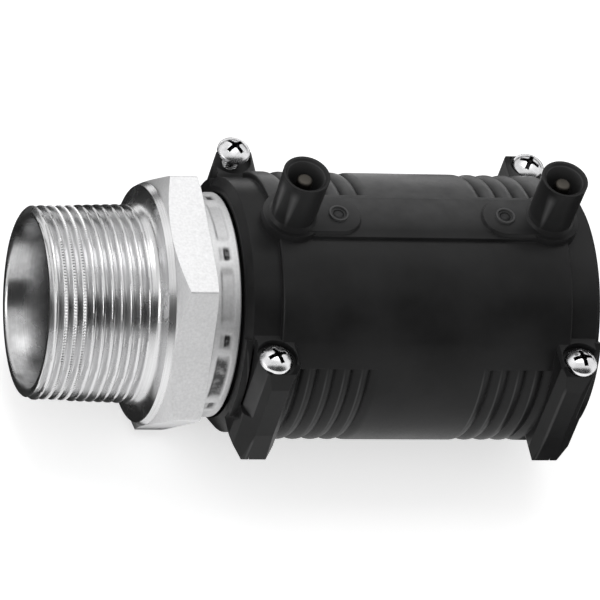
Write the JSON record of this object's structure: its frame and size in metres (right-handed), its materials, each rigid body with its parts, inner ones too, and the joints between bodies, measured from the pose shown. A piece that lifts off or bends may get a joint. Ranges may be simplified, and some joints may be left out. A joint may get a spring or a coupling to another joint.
{
  "type": "pe to steel transition fitting",
  "caption": "Steel nipple with a male pipe thread and wrench hexagon, crimped on a PE stub, with a black electrofusion coupler that has terminals and screwed pipe clamps.",
  "frame": {"origin": "centre of the threaded end's face, on the pipe axis", "axes": "+X along the pipe axis from the thread towards the open pipe socket, +Z along the electric terminals, +Y towards the back clamp lugs"},
  "size_m": [0.1373, 0.0732, 0.0814],
  "materials": {
    "nipple_steel": "turned, satin",
    "sleeve_steel": "bright, crimped",
    "pe_black": "moulded, slightly glossy",
    "stub_black": "extruded",
    "rubber_black": "matt",
    "wire_copper": "drawn wire",
    "pin_brass": "turned",
    "peg_black": "moulded",
    "screw_zinc": "zinc plated",
    "nut_zinc": "zinc plated"
  },
  "bodies": {
    "root": {"steel_nipple": "nipple_steel", "crimp_sleeve": "sleeve_steel", "o_ring_inner": "rubber_black", "o_ring_outer": "rubber_black", "pe_stub": "stub_black", "coupler_body": "pe_black", "heating_wire": "wire_copper", "terminal_pin_left": "pin_brass", "terminal_pin_right": "pin_brass", "indicator_left": "peg_black", "indicator_right": "peg_black", "clamp_screw_front_left": "screw_zinc", "clamp_screw_back_left": "screw_zinc", "clamp_screw_front_right": "screw_zinc", "clamp_screw_back_right": "screw_zinc", "clamp_nut_front_left": "nut_zinc", "clamp_nut_back_left": "nut_zinc", "clamp_nut_front_right": "nut_zinc", "clamp_nut_back_right": "nut_zinc"}
  },
  "joints": []
}
